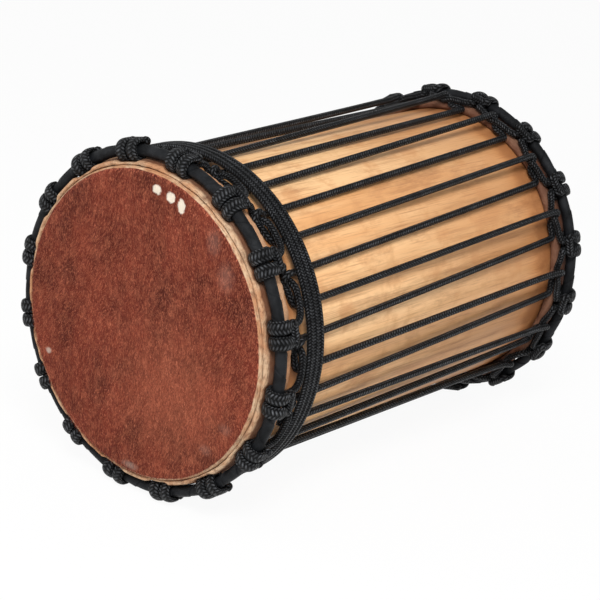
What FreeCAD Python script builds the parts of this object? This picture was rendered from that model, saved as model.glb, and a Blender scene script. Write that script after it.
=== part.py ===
"""Dunun: a cylindrical drum, hollowed from a log, with a cowhide on each end.

Each hide is folded round a flesh ring and pulled down by a crown ring bound in
cloth. A cradle cord is hitched to each crown ring, and one long rope laces the
loops of the two cradle cords together. The drum lies on its side: its axis runs
along Y, the strike head faces -Y, and Z is up.
"""
import math
import os

import FreeCAD
import Part
import Sketcher

Vector = FreeCAD.Vector

doc = FreeCAD.newDocument("Dunun")

# Driving sizes, in millimetres, degrees or counts

SIZES = [
    ("drum_length", 500.0),
    ("shell_radius", 147.2),
    ("shell_wall", 12.0),
    ("bearing_round", 3.3),
    ("bearing_bevel", 6.0),
    ("skin_thickness", 1.5),
    ("fit_gap", 0.2),
    ("fold_end_angle", 35.0),
    ("flesh_rod", 7.0),
    ("crown_rod", 8.0),
    ("crown_depth", 13.2),
    ("cloth_thickness", 1.2),
    ("rope_diameter", 6.8),
    ("rope_gap", 0.3),
    ("hitch_count", 16),
    ("hitch_half_width", 8.0),
    ("leg_half_gap", 4.0),
    ("bridge_offset", 12.8),
    ("strand_depth", 44.6),
    ("bight_setback", 7.4),
    ("strike_over_angle", 4.65),
    ("strike_under_angle", 15.85),
    ("bottom_over_angle", 9.25),
    ("bottom_under_angle", 19.25),
    ("turns_depth", 54.9),
    ("turn_gap", 0.45),
    ("turn_quarters", 11),
    ("turns_lead_in", 10.0),
    ("foot_cut", 0.5),
]

# Sizes that follow from the driving ones

DERIVED = [
    ("shell_end", "=fit_gap + skin_thickness"),
    ("skin_inner", "=shell_radius + fit_gap"),
    ("skin_outer", "=skin_inner + skin_thickness"),
    ("inner_round", "=bearing_round + fit_gap"),
    ("outer_round", "=inner_round + skin_thickness"),
    ("flesh_radius", "=skin_outer + fit_gap + flesh_rod / 2"),
    ("fold_inner", "=flesh_rod / 2 + fit_gap"),
    ("fold_outer", "=fold_inner + skin_thickness"),
    ("cloth_inner", "=crown_rod / 2 + fit_gap"),
    ("cloth_outer", "=cloth_inner + cloth_thickness"),
    ("rope_radius", "=rope_diameter / 2"),
    ("coil_radius", "=cloth_outer + rope_gap + rope_radius"),
    ("crown_radius", "=skin_outer + rope_gap + rope_radius + coil_radius"),
    ("fold_reach", "=fold_outer + rope_gap + rope_radius"),
    ("flesh_drop", "=sqrt((coil_radius + fold_reach) ^ 2 - (crown_radius - flesh_radius) ^ 2)"),
    ("flesh_depth", "=crown_depth + flesh_drop"),
    ("bight_depth", "=strand_depth - bight_setback"),
]

sheet = doc.addObject("Spreadsheet::Sheet", "sizes")


def add_cell(row, alias, content):
    """Writes one named value into the sheet."""
    sheet.set("A%d" % row, alias)
    sheet.set("B%d" % row, content)
    sheet.setAlias("B%d" % row, alias)


for row, (alias, content) in enumerate(SIZES + DERIVED, start=1):
    add_cell(row, alias, str(content))
doc.recompute()


def size(alias):
    """One value of the sheet as a plain number."""
    return float(getattr(sheet, alias))


def bind(feature, **formulas):
    """Binds properties of a feature to formulas in the sheet's sizes."""
    names = [alias for alias, content in SIZES + DERIVED]
    for name, formula in formulas.items():
        words = ["<<sizes>>." + word if word in names else word for word in formula.split()]
        feature.setExpression(name.replace("__", "."), " ".join(words))


# The ropes' common measures: how far apart two crossing ropes lie, and the
# radii at which a rope lies on the shell and on another rope.

ROPE = size("rope_radius")
CROSSING = size("rope_diameter") + size("rope_gap")
LOW = size("shell_radius") + size("rope_gap") + ROPE
HIGH = LOW + CROSSING
STEP = 360.0 / size("hitch_count")
HITCHES = int(size("hitch_count"))

# The height of the drum's axis over the surface that it rests on. The drum lies
# on the hitch turns next to its lowest line, which are cut flat by foot_cut.

turn_middle = size("crown_radius") + size("coil_radius")
turn_lean = math.atan2(size("hitch_half_width"), turn_middle)
turn_reach = math.hypot(size("hitch_half_width"), turn_middle)
lowest_lean = math.radians(STEP / 2) - turn_lean
AXIS_HEIGHT = turn_reach * math.cos(lowest_lean) + ROPE - size("foot_cut")

STRIKE = -1
BOTTOM = 1

# Under the surplus turns the lacing's strands lie at one radius. The lacing
# starts and ends at the loop after this hitch, on the side turned away.

SETTLED = LOW + 3.2
FIRST_HITCH = 13


def end_placement(end):
    """An end's own frame: the head's face at z = 0 and the drum's inside towards +z."""
    turn = FreeCAD.Rotation(Vector(1, 0, 0), 90 * end)
    return FreeCAD.Placement(Vector(0, end * size("drum_length") / 2, AXIS_HEIGHT), turn)


def new_body(label, placement):
    """An empty body with its own label and place."""
    body = doc.addObject("PartDesign::Body", label)
    body.Label = label
    body.Placement = placement
    return body


def circle_edges(feature, radius, height):
    """The names of a shape's round edges of one radius at one height."""
    names = []
    for index, edge in enumerate(feature.Shape.Edges, start=1):
        curve = edge.Curve
        if isinstance(curve, Part.Circle) and abs(curve.Radius - radius) < 1e-4:
            if abs(curve.Center.z - height) < 1e-4:
                names.append("Edge%d" % index)
    return names


def round_edge(body, kind, base, radius, height, name, amount):
    """A fillet or chamfer on the round edge of one radius and height."""
    feature = body.newObject("PartDesign::" + kind, name)
    feature.Base = (base, circle_edges(base, radius, height))
    bind(feature, **amount)
    doc.recompute()
    return feature


# The shell, a ring-shaped profile turned about the drum's axis


def make_shell():
    """The hollowed log, open at both ends, with rounded bearing edges."""
    body = new_body("shell", end_placement(STRIKE))
    profile = body.newObject("Sketcher::SketchObject", "wall_profile")
    plane = [face for face in body.Origin.OriginFeatures if face.Role == "XZ_Plane"][0]
    profile.AttachmentSupport = [(plane, "")]
    profile.MapMode = "FlatFace"
    inner = size("shell_radius") - size("shell_wall")
    outer = size("shell_radius")
    low = size("shell_end")
    top = size("drum_length") - size("shell_end")
    corners = [Vector(inner, low, 0), Vector(outer, low, 0), Vector(outer, top, 0), Vector(inner, top, 0)]
    for start, stop in zip(corners, corners[1:] + corners[:1]):
        profile.addGeometry(Part.LineSegment(start, stop), False)
    for side in range(4):
        profile.addConstraint(Sketcher.Constraint("Coincident", side, 2, (side + 1) % 4, 1))
    for side in (0, 2):
        profile.addConstraint(Sketcher.Constraint("Horizontal", side))
    for side in (1, 3):
        profile.addConstraint(Sketcher.Constraint("Vertical", side))
    measures = [
        ("inner_radius", "DistanceX", 0, 1, inner, "shell_radius - shell_wall"),
        ("outer_radius", "DistanceX", 0, 2, outer, "shell_radius"),
        ("near_end", "DistanceY", 0, 1, low, "shell_end"),
        ("far_end", "DistanceY", 2, 1, top, "drum_length - shell_end"),
    ]
    for name, kind, side, point, value, formula in measures:
        index = profile.addConstraint(Sketcher.Constraint(kind, -1, 1, side, point, value))
        profile.renameConstraint(index, name)
        bind(profile, **{"Constraints__" + name: formula})
    wall = body.newObject("PartDesign::Revolution", "wall")
    wall.Profile = profile
    wall.ReferenceAxis = (profile, ["V_Axis"])
    wall.Angle = 360.0
    doc.recompute()
    feature = wall
    for name, height in (("near", low), ("far", top)):
        edge = {"Radius": "bearing_round"}
        feature = round_edge(body, "Fillet", feature, outer, height, name + "_edge", edge)
        bevel = {"Size": "bearing_bevel"}
        feature = round_edge(body, "Chamfer", feature, inner, height, name + "_bevel", bevel)
    return body


# A head: the membrane with its side wall, and the fold round the flesh ring


def make_torus(label, radius, tube):
    """A ring of round section, its sizes bound to the sheet."""
    torus = doc.addObject("Part::Torus", label)
    torus.Label = label
    bind(torus, Radius1=radius, Radius2=tube)
    return torus


def make_head(label, end):
    """A hide stretched over one end, its rim folded back round the flesh ring."""
    cap = new_body(label + "_cap", FreeCAD.Placement())
    outside = cap.newObject("PartDesign::AdditiveCylinder", label + "_outside")
    bind(outside, Radius="skin_outer", Height="flesh_depth")
    doc.recompute()
    edge = {"Radius": "outer_round"}
    round_edge(cap, "Fillet", outside, size("skin_outer"), 0.0, label + "_edge", edge)
    inside = cap.newObject("PartDesign::SubtractiveCylinder", label + "_inside")
    bind(inside, Radius="skin_inner", Height="flesh_depth", Placement__Base__z="skin_thickness")
    doc.recompute()
    edge = {"Radius": "inner_round"}
    low = size("skin_thickness")
    round_edge(cap, "Fillet", inside, size("skin_inner"), low, label + "_inner_edge", edge)
    fold = doc.addObject("Part::Cut", label + "_fold")
    fold.Base = make_torus(label + "_fold_outside", "flesh_radius", "fold_outer")
    fold.Tool = make_torus(label + "_fold_inside", "flesh_radius", "fold_inner")
    for torus in (fold.Base, fold.Tool):
        bind(torus, Angle1="0 - fold_end_angle")
        torus.Angle2 = 180.0
    bind(fold, Placement__Base__z="flesh_depth")
    head = doc.addObject("Part::Fuse", label)
    head.Label = label
    head.Base = cap
    head.Tool = fold
    head.Placement = end_placement(end)
    return head


# The rings and the cloth wound round the crown rings


def lifted(end, depth):
    """A frame of an end, moved to a depth inside its head's face."""
    return end_placement(end) * FreeCAD.Placement(Vector(0, 0, size(depth)), FreeCAD.Rotation())


def make_ring(label, end, radius, rod, depth):
    """A ring bent from round rod."""
    ring = make_torus(label, radius, rod + " / 2")
    ring.Placement = lifted(end, depth)
    return ring


def make_cloth(label, end):
    """The cloth sleeve wound round a crown ring."""
    cloth = doc.addObject("Part::Cut", label)
    cloth.Label = label
    cloth.Base = make_torus(label + "_outside", "crown_radius", "cloth_outer")
    cloth.Tool = make_torus(label + "_inside", "crown_radius", "cloth_inner")
    cloth.Placement = lifted(end, "crown_depth")
    return cloth


# Ropes: a round section swept along straight runs joined by tangent arcs


def drum_point(end, angle, depth, radius, shift=0.0):
    """A point by its angle from +Z towards +X, its depth from an end and its radius.

    The shift moves it sideways, square to the radius at that angle.
    """
    turn = math.radians(angle)
    side = radius * math.sin(turn) + shift * math.cos(turn)
    rise = radius * math.cos(turn) - shift * math.sin(turn)
    return Vector(side, end * (size("drum_length") / 2 - depth), rise + AXIS_HEIGHT)


def corner_arc(before, corner, after, radii):
    """The arc that touches two runs at points as far from their corner."""
    arrive = (corner - before).normalize()
    leave = (after - corner).normalize()
    turn = arrive.getAngle(leave)
    radius = (corner - before).Length / math.tan(turn / 2)
    radii.append(radius)
    inward = (leave - arrive).normalize()
    middle = corner + inward * (radius / math.cos(turn / 2) - radius)
    return Part.Arc(before, middle, after).toShape()


def route_edges(points, radii):
    """Straight runs through the points, with as large an arc at each as its runs allow."""
    share = 0.45
    edges = []
    start = points[0]
    for before, corner, after in zip(points, points[1:], points[2:]):
        arrive = corner - before
        leave = after - corner
        trim = share * min(arrive.Length, leave.Length)
        first = corner - arrive.normalize() * trim
        last = corner + leave.normalize() * trim
        edges.append(Part.LineSegment(start, first).toShape())
        edges.append(corner_arc(first, corner, last, radii))
        start = last
    edges.append(Part.LineSegment(start, points[-1]).toShape())
    return edges


def make_rope(label, edges, radii, flat_foot=False):
    """A rope's solid along its route, with its length and tightest bend printed."""
    route = Part.Wire(edges)
    direction = edges[0].tangentAt(edges[0].FirstParameter)
    start = edges[0].valueAt(edges[0].FirstParameter)
    section = Part.Wire(Part.Circle(start, direction, ROPE).toShape())
    solid = route.makePipeShell([section], True, False)
    expected = math.pi * ROPE ** 2 * route.Length
    print("%s: %.0f mm long, tightest bend %.1f mm, volume / (section x length) %.5f"
          % (label, route.Length, min(radii), solid.Volume / expected))
    if flat_foot:
        reach = size("drum_length")
        floor = Part.makeBox(2 * reach, 2 * reach, reach, Vector(-reach, -reach, -reach))
        solid = solid.cut(floor)
    rope = doc.addObject("Part::Feature", label)
    rope.Label = label
    rope.Shape = solid
    return rope


# The cradle cord: a cow hitch at each step of the crown ring, and a loop between
# two hitches. Angles are counted from the hitch before.


def hitch_points(end, angle):
    """One cow hitch, from the leg that arrives to the leg that leaves.

    A leg comes up over the fold of the hide, passes behind the crown ring and over
    its front, and the bridge joins the two turns across both legs.
    """
    width = size("hitch_half_width")
    leg = size("leg_half_gap")
    coil = size("coil_radius")
    corner = coil / math.cos(math.radians(30))
    leg_rise = size("flesh_radius") + size("fold_reach") - size("crown_radius")
    bridge_rise = leg_rise + CROSSING
    bridge = size("bridge_offset")
    fold_side = size("fold_reach") * math.tan(math.radians(30))
    half = [
        (width / 2, bridge, bridge_rise),
        (width, bridge - 4.2, coil),
        (width, -corner / 2, coil),
        (width, -corner, 0.0),
        (width - 1.0, -corner / 2, -coil),
        (leg + 1.2, corner / 2, -coil),
        (leg + 0.2, size("flesh_drop") - fold_side, leg_rise),
        (leg, size("flesh_drop") + fold_side, leg_rise),
        (leg + 0.6, size("flesh_drop") + fold_side + 4.8, leg_rise - 1.2),
    ]
    route = [(-shift, offset, rise) for shift, offset, rise in reversed(half)] + half
    depth = size("crown_depth")
    radius = size("crown_radius")
    return [drum_point(end, angle, depth + offset, radius + rise, shift) for shift, offset, rise in route]


def strand_heights(end):
    """The loop strand between two hitches: angle, depth from strand_depth, radius.

    It lies on the shell where the lacing crosses over it, and on the lacing
    where the lacing goes under it.
    """
    if end == STRIKE:
        return [
            (2.7, -1.8, LOW + 4.0), (4.5, 0.0, LOW - 0.2), (10.2, 0.3, LOW + 3.3),
            (14.4, 0.2, HIGH + 0.6), (17.6, 0.0, HIGH + 1.2), (19.8, -1.8, HIGH + 1.6),
        ]
    return [
        (2.7, -1.8, HIGH + 0.4), (5.2, -0.2, LOW + 3.6), (9.2, 0.1, LOW - 0.3),
        (14.0, 0.3, LOW + 4.6), (17.9, 0.0, HIGH + 0.8), (19.8, -1.8, HIGH + 1.4),
    ]


def make_cradle(label, end):
    """The cradle cord of one end, its two ends butted in the lowest loop."""
    depth = size("strand_depth")
    heights = strand_heights(end)
    lowest = HITCHES // 2 - 1
    middle = (heights[2][0] + heights[3][0]) / 2
    seam_radius = (heights[2][2] + heights[3][2]) / 2
    seam = 0.1
    points = [drum_point(end, (lowest + 0.5) * STEP + middle + seam, depth + 0.3, seam_radius)]
    for turn in range(HITCHES + 1):
        before = (lowest + turn + 0.5) * STEP
        chosen = heights
        if turn == 0:
            chosen = heights[3:]
        if turn == HITCHES:
            chosen = heights[:3]
        points += [drum_point(end, before + angle, depth + extra, radius) for angle, extra, radius in chosen]
        if turn < HITCHES:
            points += hitch_points(end, before + STEP)
    points.append(drum_point(end, (lowest + 0.5) * STEP + middle - seam, depth + 0.3, seam_radius))
    radii = []
    return make_rope(label, route_edges(points, radii), radii, flat_foot=True)


# The lacing: over a loop strand, along behind it and back under it, at each loop
# of both cradle cords in turn. Its end is wound round the drum.


def lacing_start_angle():
    """Where the lacing starts and ends: over the strike loop after the first hitch."""
    return (FIRST_HITCH + 0.5) * STEP + size("strike_over_angle")


def bight_points(end, hitch):
    """The lacing's way through the loop after one hitch, from its over side to its under side."""
    angle = (hitch + 0.5) * STEP
    name = "strike" if end == STRIKE else "bottom"
    over = angle + size(name + "_over_angle")
    under = angle + size(name + "_under_angle")
    strand = size("strand_depth")
    bight = size("bight_depth")
    return [
        drum_point(end, over, strand + 8.0, SETTLED),
        drum_point(end, over, strand + 2.5, HIGH + 0.5),
        drum_point(end, over + 0.5, strand - 2.0, HIGH + 1.1),
        drum_point(end, over + 2.3, bight + 1.4, LOW + 5.9),
        drum_point(end, over + 4.6, bight, LOW + 4.7),
        drum_point(end, under - 3.6, bight + 0.6, LOW + 2.2),
        drum_point(end, under - 1.5, bight + 1.7, LOW + 0.7),
        drum_point(end, under - 0.1, bight + 5.4, LOW + 0.1),
        drum_point(end, under, strand + 5.4, LOW),
    ]


def make_lacing():
    """The lacing, from its end under the surplus turns to the start of those turns."""
    over = lacing_start_angle()
    turns = size("turns_depth")
    points = [drum_point(STRIKE, over, turns + 16.0, SETTLED)]
    for step in range(HITCHES):
        hitch = FIRST_HITCH + step
        points += bight_points(STRIKE, hitch)
        points += bight_points(BOTTOM, hitch)
    lead, direction = surplus_frame(0.0)
    points += [
        drum_point(STRIKE, over, turns + 42.0, SETTLED - 0.1),
        drum_point(STRIKE, over + 0.7, turns + 31.0, SETTLED + 2.3),
        drum_point(STRIKE, over + 3.0, turns + 23.5, SETTLED + 6.0),
        lead - direction * 9.0,
        lead,
    ]
    radii = []
    return make_rope("lacing_rope", route_edges(points, radii), radii)


# The surplus turns: the end of the lacing, wound round the drum over its strands


def turns_angle(quarters):
    """The angle reached on the drum after so many quarter turns."""
    return lacing_start_angle() + size("turns_lead_in") + 90.0 * quarters


def surplus_frame(quarters):
    """A point of the winding and the direction there, after so many quarter turns."""
    pitch = size("rope_diameter") + size("turn_gap")
    radius = SETTLED + CROSSING
    angle = turns_angle(quarters)
    depth = size("turns_depth") + pitch * (size("turn_quarters") - quarters) / 4
    point = drum_point(STRIKE, angle, depth, radius)
    turn = math.radians(angle)
    along = Vector(radius * math.cos(turn), 0, -radius * math.sin(turn))
    advance = Vector(0, STRIKE * pitch / (2 * math.pi), 0)
    return point, (along + advance).normalize()


def biarc_edges(first, first_way, last, last_way, radii):
    """Two arcs that leave one point and reach another in given directions."""
    chord = last - first
    ways = first_way + last_way
    bend = 2 * (1 - first_way.dot(last_way))
    reach = chord.dot(ways)
    arm = (math.sqrt(reach ** 2 + bend * chord.dot(chord)) - reach) / bend
    corner = first + first_way * arm
    other = last - last_way * arm
    joint = (corner + other) / 2
    return [corner_arc(first, corner, joint, radii), corner_arc(joint, other, last, radii)]


def least_gap(edges):
    """The least gap between the winding's turns, measured on points along it.

    Points less than half a turn apart, which is four edges, aren't compared.
    """
    samples = 24
    points = []
    for edge in edges:
        span = edge.LastParameter - edge.FirstParameter
        points += [edge.valueAt(edge.FirstParameter + span * i / samples) for i in range(samples)]
    apart = samples * 4
    gaps = []
    for index, point in enumerate(points):
        gaps += [point.distanceToPoint(other) for other in points[index + apart:]]
    return min(gaps) - size("rope_diameter")


def make_surplus():
    """The winding, one unbroken tube whose end is tucked down behind a strand."""
    radii = []
    edges = []
    quarters = int(size("turn_quarters"))
    for quarter in range(quarters):
        first, first_way = surplus_frame(quarter)
        last, last_way = surplus_frame(quarter + 1)
        edges += biarc_edges(first, first_way, last, last_way, radii)
    print("surplus_turns: least gap to itself %.2f mm" % least_gap(edges))
    end, direction = surplus_frame(quarters)
    angle = turns_angle(quarters)
    depth = size("turns_depth")
    tail = [
        end,
        end + direction * 6.0,
        drum_point(STRIKE, angle + 5.0, depth + 0.4, LOW + 7.5),
        drum_point(STRIKE, angle + 7.0, depth + 1.2, LOW + 2.5),
        drum_point(STRIKE, angle + 9.3, depth + 2.4, LOW + 0.2),
    ]
    edges += route_edges(tail, radii)
    return make_rope("surplus_turns", edges, radii)


# Build all the pieces, check them and write them

pieces = [make_shell()]
for end, name in ((STRIKE, "strike"), (BOTTOM, "bottom")):
    pieces.append(make_head(name + "_head", end))
    pieces.append(make_ring(name + "_flesh_ring", end, "flesh_radius", "flesh_rod", "flesh_depth"))
    pieces.append(make_ring(name + "_crown_ring", end, "crown_radius", "crown_rod", "crown_depth"))
    pieces.append(make_cloth(name + "_ring_cloth", end))
    pieces.append(make_cradle(name + "_cradle_cord", end))
pieces.append(make_lacing())
pieces.append(make_surplus())
doc.recompute()

for thing in doc.Objects:
    if "Invalid" in thing.State or "Error" in thing.State:
        raise RuntimeError(thing.Label + " did not recompute")
for piece in pieces:
    if piece.Shape.isNull() or not piece.Shape.isValid():
        raise RuntimeError(piece.Label + " has no valid shape")

os.makedirs("parts", exist_ok=True)
for piece in pieces:
    piece.Shape.exportStep(os.path.join("parts", piece.Label + ".step"))
print("%d pieces, axis %.2f mm above the surface" % (len(pieces), AXIS_HEIGHT))
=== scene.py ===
"""A small dunun lying on its side: the drum's soft and wound pieces, its finishes and the studio.

The frame gives the shell and the metal rings. The hides, the cloth on the rings and the
ropes are modelled here in the places of the frame's nodes, in metres. The drum's axis
runs along Y, the strike head faces -Y and Z is up.
"""
import logging
import math
import random
from dataclasses import dataclass, field, replace
from enum import Enum

import bpy
from mathutils import Matrix, Vector, noise


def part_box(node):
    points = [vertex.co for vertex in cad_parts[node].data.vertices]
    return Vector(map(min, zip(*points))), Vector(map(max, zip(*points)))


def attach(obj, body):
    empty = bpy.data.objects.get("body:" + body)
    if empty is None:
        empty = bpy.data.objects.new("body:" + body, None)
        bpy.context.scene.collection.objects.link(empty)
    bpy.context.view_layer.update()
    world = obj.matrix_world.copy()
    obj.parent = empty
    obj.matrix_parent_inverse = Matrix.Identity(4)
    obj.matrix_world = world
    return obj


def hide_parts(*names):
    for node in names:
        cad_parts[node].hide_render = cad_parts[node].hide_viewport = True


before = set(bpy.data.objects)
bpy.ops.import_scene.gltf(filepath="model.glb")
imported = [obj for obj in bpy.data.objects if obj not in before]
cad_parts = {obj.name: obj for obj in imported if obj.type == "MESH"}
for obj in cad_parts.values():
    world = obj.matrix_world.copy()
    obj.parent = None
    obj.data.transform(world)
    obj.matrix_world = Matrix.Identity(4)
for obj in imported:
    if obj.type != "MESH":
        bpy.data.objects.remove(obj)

log = logging.getLogger("dunun")

BODY = "root"
RGB = tuple[float, float, float]
Route = list[tuple[float, float, float]]
Socket = bpy.types.NodeSocket
Piece = bpy.types.Object
Material = bpy.types.Material


class End(Enum):
    """One end of the drum, with the side of the origin that it lies on along Y."""

    STRIKE = -1
    BOTTOM = 1

    @property
    def word(self) -> str:
        """The end's name as its pieces have it."""
        return self.name.lower()


@dataclass(frozen=True)
class DrumSizes:
    """The drum's main sizes, in metres, read from the frame's nodes.

    The flesh ring is the ring inside the fold of a hide. The crown ring is the outer
    ring that pulls the hide down, and its sleeve is the cloth wound round it. The
    bottom loops are slack from the angle slack_from on, in degrees, down to the lowest.
    """

    axis_height: float
    half_length: float
    shell_radius: float
    crown_radius: float
    crown_depth: float
    sleeve_radius: float
    flesh_radius: float
    flesh_depth: float
    flesh_rod: float
    skin: float = 0.0015
    skin_gap: float = 0.0002
    rope_radius: float = 0.0034
    rope_gap: float = 0.0003
    hitch_count: int = 16
    slack_from: float = 150.0
    slack_fade: float = 34.0

    @classmethod
    def from_frame(cls) -> "DrumSizes":
        """Reads the sizes from the boxes of the frame's nodes.

        Returns:
            The sizes of the drum that the frame holds.
        """
        shell_low, shell_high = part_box("shell")
        head_low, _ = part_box("strike_head")
        sleeve_low, sleeve_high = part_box("strike_ring_cloth")
        flesh_low, flesh_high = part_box("strike_flesh_ring")
        half_length = -head_low.y
        sleeve_radius = (sleeve_high.y - sleeve_low.y) / 2
        flesh_rod = flesh_high.y - flesh_low.y
        return cls(
            axis_height=(shell_low.z + shell_high.z) / 2,
            half_length=half_length,
            shell_radius=(shell_high.x - shell_low.x) / 2,
            crown_radius=(sleeve_high.x - sleeve_low.x) / 2 - sleeve_radius,
            crown_depth=(sleeve_low.y + sleeve_high.y) / 2 + half_length,
            sleeve_radius=sleeve_radius,
            flesh_radius=(flesh_high.x - flesh_low.x - flesh_rod) / 2,
            flesh_depth=(flesh_low.y + flesh_high.y) / 2 + half_length,
            flesh_rod=flesh_rod,
        )

    @property
    def step(self) -> float:
        """The angle from one hitch to the next, in degrees."""
        return 360.0 / self.hitch_count

    @property
    def crossing(self) -> float:
        """The distance between the middles of two ropes that cross."""
        return 2 * self.rope_radius + self.rope_gap

    @property
    def low(self) -> float:
        """The radius at which a rope lies on the shell."""
        return self.shell_radius + self.rope_gap + self.rope_radius

    @property
    def high(self) -> float:
        """The radius at which a rope lies on a rope that lies on the shell."""
        return self.low + self.crossing

    @property
    def fold_reach(self) -> float:
        """The radius of a rope that passes round the fold of a hide."""
        fold = self.flesh_rod / 2 + self.skin_gap + self.skin
        return fold + self.rope_gap + self.rope_radius

    def point(self, end: End, angle: float, depth: float, radius: float, shift: float = 0.0) -> Vector:
        """A point of the drum.

        Args:
            end: The end that the depth is measured from.
            angle: The angle about the axis from +Z towards +X, in degrees.
            depth: The distance inwards from the head's face.
            radius: The distance from the axis.
            shift: A sideways distance, square to the radius.

        Returns:
            The point in the frame.
        """
        turn = math.radians(angle)
        side = radius * math.sin(turn) + shift * math.cos(turn)
        rise = radius * math.cos(turn) - shift * math.sin(turn)
        return Vector((side, end.value * (self.half_length - depth), rise + self.axis_height))

    def polar(self, end: End, place: Vector) -> tuple[float, float, float]:
        """The place of a point about the axis, the other way round from point.

        Args:
            end: The end that the depth is measured from.
            place: The point in the frame.

        Returns:
            The point's angle, depth and radius.
        """
        angle = math.degrees(math.atan2(place.x, place.z - self.axis_height))
        radius = math.hypot(place.x, place.z - self.axis_height)
        return angle, self.half_length - end.value * place.y, radius

    def from_hitch(self, angle: float) -> float:
        """How far an angle is from the middle of the nearest hitch, in degrees."""
        return (angle + 360.0) % self.step - self.step / 2

    def held(self, hitch_angle: float, snug: Route, slack: Route) -> Route:
        """The way of a bottom loop: snug against its ring, but slack below the drum.

        Args:
            hitch_angle: The angle of the hitch before the loop, in degrees.
            snug: The loop's points where it's snug, each an angle, a depth and a radius.
            slack: The same points where it's slack.

        Returns:
            The points between the two for this loop.
        """
        middle = (hitch_angle + self.step / 2 + 180.0) % 360.0 - 180.0
        share = unit((self.slack_from - abs(middle)) / self.slack_fade)
        return [
            tuple(low + (high - low) * share for low, high in zip(loose, tight))
            for loose, tight in zip(slack, snug)
        ]


def unit(value: float) -> float:
    """A value held between 0 and 1."""
    return max(0.0, min(value, 1.0))


def deselect() -> None:
    """Leaves no object selected, so that an operator acts on what is picked next."""
    if bpy.context.mode != "OBJECT":
        bpy.ops.object.mode_set(mode="OBJECT")
    bpy.ops.object.select_all(action="DESELECT")


def pick(piece: Piece) -> None:
    """Selects one object alone and makes it the active one.

    Args:
        piece: The object.
    """
    deselect()
    piece.select_set(True)
    bpy.context.view_layer.objects.active = piece


def apply_modifiers(piece: Piece) -> None:
    """Applies all the modifiers of a piece, from first to last.

    Args:
        piece: The piece.
    """
    pick(piece)
    for name in [modifier.name for modifier in piece.modifiers]:
        bpy.ops.object.modifier_apply(modifier=name)


def mesh_piece(name: str, points: list[Vector], faces: list[tuple[int, ...]]) -> Piece:
    """A new object from points and faces, placed by its mesh.

    Args:
        name: The object's name.
        points: Its points, in the frame.
        faces: The numbers of each face's points.

    Returns:
        The object, linked to the scene.
    """
    mesh = bpy.data.meshes.new(name)
    mesh.from_pydata([tuple(point) for point in points], [], faces)
    mesh.update()
    piece = bpy.data.objects.new(name, mesh)
    bpy.context.scene.collection.objects.link(piece)
    return piece


def spin_profile(name: str, profile: list[Vector], centre: Vector, steps: int) -> Piece:
    """Draws a profile point by point and spins it about a line along Y.

    Args:
        name: The new object's name.
        profile: The points of the profile, in the frame.
        centre: A point on the line.
        steps: The number of steps of the full turn.

    Returns:
        The spun surface, closed where the profile meets the line.
    """
    deselect()
    bpy.ops.mesh.primitive_circle_add(vertices=3, radius=0.001, location=profile[0])
    piece = bpy.context.active_object
    piece.name = name
    bpy.ops.object.transform_apply(location=True, rotation=True, scale=True)
    bpy.ops.object.mode_set(mode="EDIT")
    bpy.ops.mesh.select_all(action="SELECT")
    bpy.ops.mesh.merge(type="CENTER")
    for before, after in zip(profile, profile[1:]):
        bpy.ops.mesh.extrude_region_move(TRANSFORM_OT_translate={"value": after - before})
    bpy.ops.mesh.select_all(action="SELECT")
    bpy.ops.mesh.spin(steps=steps, angle=2 * math.pi, center=centre, axis=(0, 1, 0))
    bpy.ops.mesh.select_all(action="SELECT")
    bpy.ops.mesh.remove_doubles(threshold=0.00002)
    bpy.ops.mesh.normals_make_consistent(inside=False)
    bpy.ops.object.mode_set(mode="OBJECT")
    return piece


def finish_piece(piece: Piece, material: Material, replaced: list[str]) -> Piece:
    """Dresses a piece and what it stands for, and lets it ride.

    Args:
        piece: The finished piece.
        material: Its material.
        replaced: The frame's nodes that it stands for.

    Returns:
        The piece.
    """
    piece.data.materials.clear()
    piece.data.materials.append(material)
    piece.data.polygons.foreach_set("use_smooth", [True] * len(piece.data.polygons))
    piece.data.update()
    if replaced:
        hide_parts(*replaced)
    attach(piece, BODY)
    log.info("%s: %d faces", piece.name, len(piece.data.polygons))
    return piece


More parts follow.
